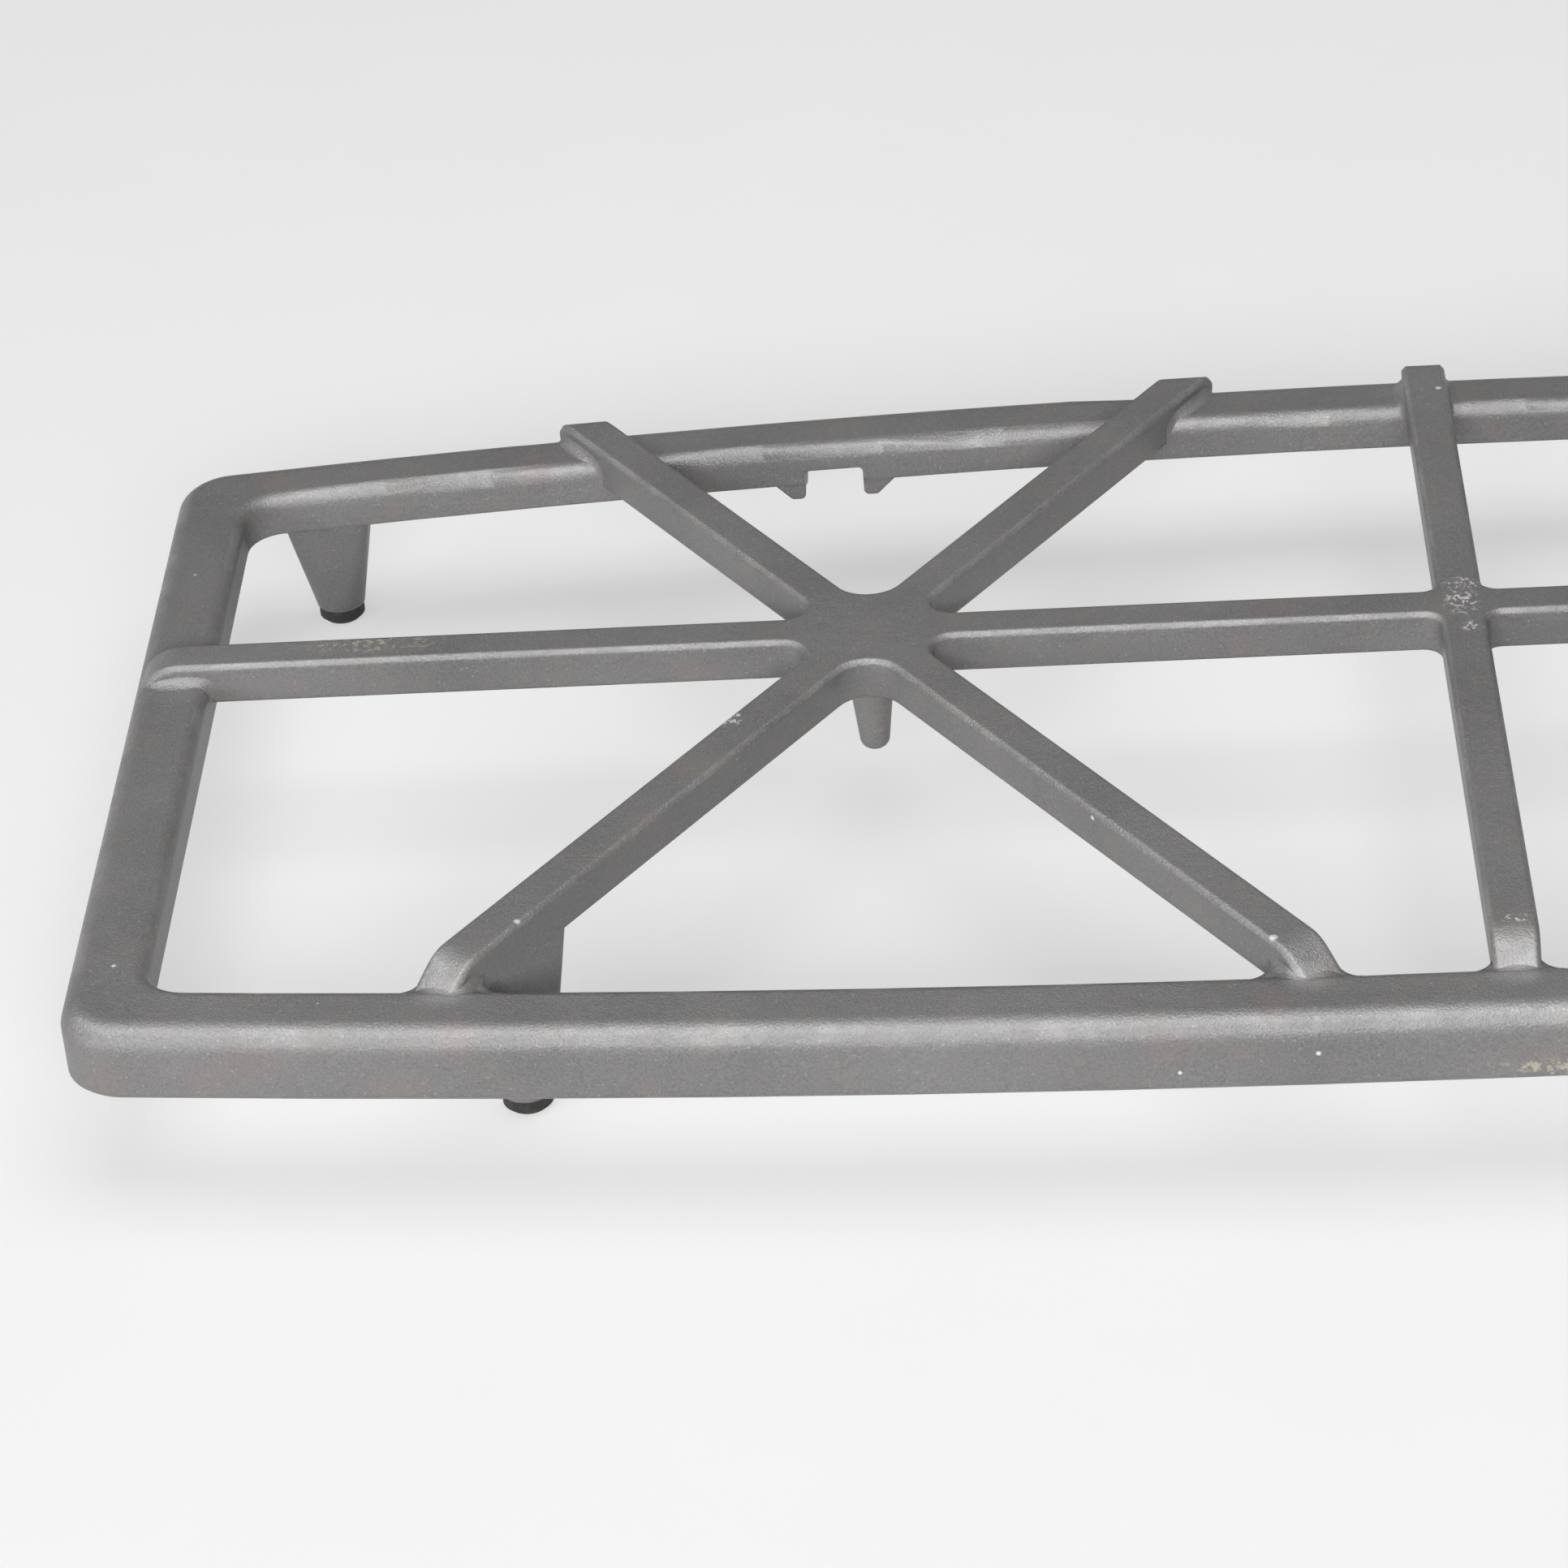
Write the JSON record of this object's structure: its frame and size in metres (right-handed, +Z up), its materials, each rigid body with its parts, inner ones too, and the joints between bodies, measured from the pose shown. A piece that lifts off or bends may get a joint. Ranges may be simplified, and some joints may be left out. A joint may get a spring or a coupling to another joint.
{
  "type": "hob pan support",
  "caption": "Cast-iron pan support for a gas hob: bowed border with a long rib, a cross rib and star ribs meeting over each burner, standing on push-in rubber feet.",
  "frame": {"origin": "on the hob's surface, under the middle of the bounding box", "axes": "+X along the length, +Y to the rear, +Z up"},
  "size_m": [0.47, 0.2054, 0.0357],
  "materials": {
    "enamelled_iron": "matt enamel, finely speckled",
    "foot_rubber": "matt"
  },
  "bodies": {
    "root": {"casting": "enamelled_iron", "rubber_foot_rear_left": "foot_rubber", "rubber_foot_rear_right": "foot_rubber", "rubber_foot_front_left": "foot_rubber", "rubber_foot_front_right": "foot_rubber"}
  },
  "joints": []
}
